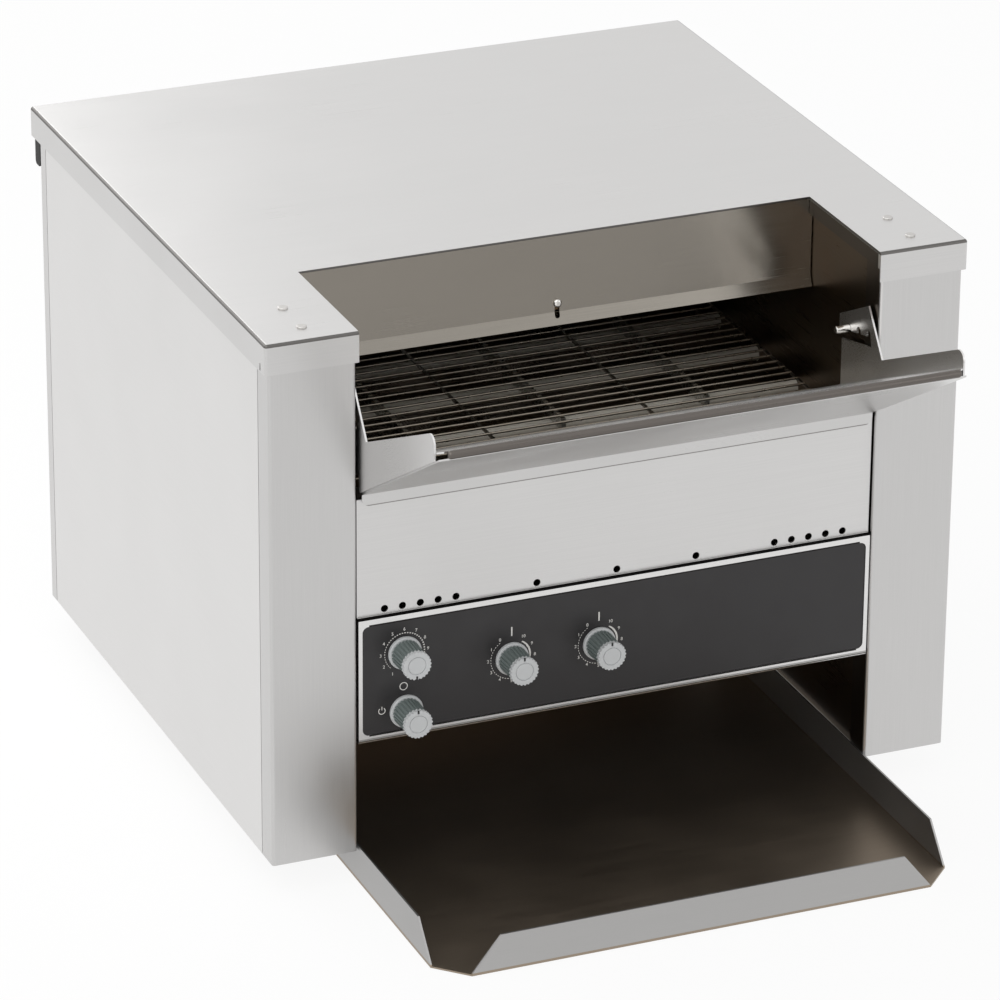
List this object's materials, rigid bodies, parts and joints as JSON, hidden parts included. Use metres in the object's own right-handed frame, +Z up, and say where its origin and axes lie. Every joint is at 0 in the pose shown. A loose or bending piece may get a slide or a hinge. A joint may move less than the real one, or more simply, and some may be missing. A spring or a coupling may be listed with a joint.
{
  "type": "conveyor toaster",
  "caption": "Counter-top conveyor toaster with a stainless housing, sloping loading chute, wire belt between heaters, control panel and pull-out discharge tray.",
  "frame": {"origin": "middle of the bounding box's bottom, on the counter", "axes": "+X to the right seen from the front, +Y towards the back, +Z up"},
  "size_m": [0.47, 0.581, 0.3752],
  "materials": {
    "stainless_sheet": "fine brushed stainless sheet",
    "oven_sheet": "warm-toned stainless sheet, heat-worn",
    "chute_steel": "brushed stainless sheet",
    "tray_steel": "brushed stainless sheet",
    "bright_steel": "bright turned steel",
    "belt_wire": "drawn stainless wire",
    "chain_steel": "oiled steel",
    "bush_bronze": "sintered bronze",
    "fascia_plastic": "matt black overlay",
    "knob_body_plastic": "satin grey moulding",
    "knob_cap_plastic": "satin pale grey moulding",
    "black_rubber": "moulded black rubber",
    "quartz": "milky quartz tube",
    "ceramic": "unglazed steatite ceramic",
    "motor_paint": "bare die casting",
    "control_plastic": "black engineering plastic",
    "fan_plastic": "black glass-filled plastic"
  },
  "bodies": {
    "housing": {"left_front_column": "stainless_sheet", "right_front_column": "stainless_sheet", "left_side_panel": "stainless_sheet", "right_side_panel": "stainless_sheet", "rear_panel": "stainless_sheet", "lid": "stainless_sheet", "lid_rivets": "stainless_sheet", "rear_screws": "stainless_sheet", "front_panel": "stainless_sheet", "control_bezel": "stainless_sheet", "rear_deflector": "stainless_sheet", "left_bottom_plate": "oven_sheet", "right_bottom_plate": "oven_sheet", "left_inner_wall": "oven_sheet", "right_inner_wall": "oven_sheet", "front_cross_member": "oven_sheet", "control_bay": "oven_sheet", "upper_reflector": "oven_sheet", "lower_reflector": "oven_sheet", "discharge_ramp": "oven_sheet", "deflector_screw": "bright_steel", "chute_pins": "bright_steel", "motor_standoffs": "bright_steel", "belt_rails": "bright_steel", "conveyor_belt": "belt_wire", "drive_chain": "chain_steel", "shaft_bushes": "bush_bronze", "control_fascia": "fascia_plastic", "feet": "black_rubber", "rear_bumpers": "black_rubber", "upper_heater_tubes": "quartz", "lower_heater_tubes": "quartz", "heater_holders": "ceramic", "gear_motor": "motor_paint", "limit_thermostat": "motor_paint", "speed_unit": "control_plastic", "power_switch": "control_plastic", "top_heat_unit": "control_plastic", "bottom_heat_unit": "control_plastic", "terminal_block": "control_plastic", "cord_inlet": "control_plastic", "fan_frame": "fan_plastic"},
    "loading_chute": {"chute_pan": "chute_steel", "chute_apron": "chute_steel"},
    "tray": {"discharge_tray": "tray_steel"},
    "front_shaft": {"front_belt_shaft": "bright_steel", "front_belt_wheels": "bright_steel"},
    "rear_shaft": {"rear_belt_shaft": "bright_steel", "rear_belt_wheels": "bright_steel", "driven_chain_wheel": "bright_steel"},
    "motor_output": {"motor_chain_wheel": "bright_steel"},
    "cooling_fan": {"fan_rotor": "fan_plastic"},
    "speed_control": {"speed_knob": "knob_body_plastic", "speed_knob_cap": "knob_cap_plastic"},
    "power_control": {"power_knob": "knob_body_plastic", "power_knob_cap": "knob_cap_plastic"},
    "top_heat_control": {"top_heat_knob": "knob_body_plastic", "top_heat_knob_cap": "knob_cap_plastic"},
    "bottom_heat_control": {"bottom_heat_knob": "knob_body_plastic", "bottom_heat_knob_cap": "knob_cap_plastic"}
  },
  "joints": [
    {"name": "chute_tip_up", "type": "hinge", "parent": "housing", "child": "loading_chute", "pos_m": [0, -0.1145, 0.309], "axis": [-1, 0, 0], "range_deg": [0, 30]},
    {"name": "tray_pull_out", "type": "slide", "parent": "housing", "child": "tray", "axis": [0, -1, 0], "range_m": [0, 0.3]},
    {"name": "rear_shaft_turn", "type": "hinge", "parent": "housing", "child": "rear_shaft", "pos_m": [0, 0.2115, 0.23468], "axis": [1, 0, 0], "continuous": true},
    {"name": "front_shaft_turn", "type": "hinge", "parent": "housing", "child": "front_shaft", "pos_m": [0, -0.0885, 0.23468], "axis": [1, 0, 0], "continuous": true},
    {"name": "motor_output_turn", "type": "hinge", "parent": "housing", "child": "motor_output", "pos_m": [0.1844, 0.2115, 0.13868], "axis": [1, 0, 0], "continuous": true},
    {"name": "fan_turn", "type": "hinge", "parent": "housing", "child": "cooling_fan", "pos_m": [-0.2048, 0.2705, 0.092], "axis": [0, 1, 0], "continuous": true},
    {"name": "speed_turn", "type": "hinge", "parent": "housing", "child": "speed_control", "pos_m": [-0.144, -0.1505, 0.154], "axis": [0, 1, 0], "range_deg": [0, 300]},
    {"name": "power_turn", "type": "hinge", "parent": "housing", "child": "power_control", "pos_m": [-0.143, -0.1505, 0.1137], "axis": [0, 1, 0], "range_deg": [-90, 0]},
    {"name": "top_heat_turn", "type": "hinge", "parent": "housing", "child": "top_heat_control", "pos_m": [-0.072, -0.1505, 0.1372], "axis": [0, 1, 0], "range_deg": [-330, 0]},
    {"name": "bottom_heat_turn", "type": "hinge", "parent": "housing", "child": "bottom_heat_control", "pos_m": [-0.0127, -0.1505, 0.1372], "axis": [0, 1, 0], "range_deg": [-330, 0]}
  ],
  "couplings": [
    {"joint": "front_shaft_turn", "follows": "rear_shaft_turn", "ratio": 1},
    {"joint": "motor_output_turn", "follows": "rear_shaft_turn", "ratio": 1}
  ]
}
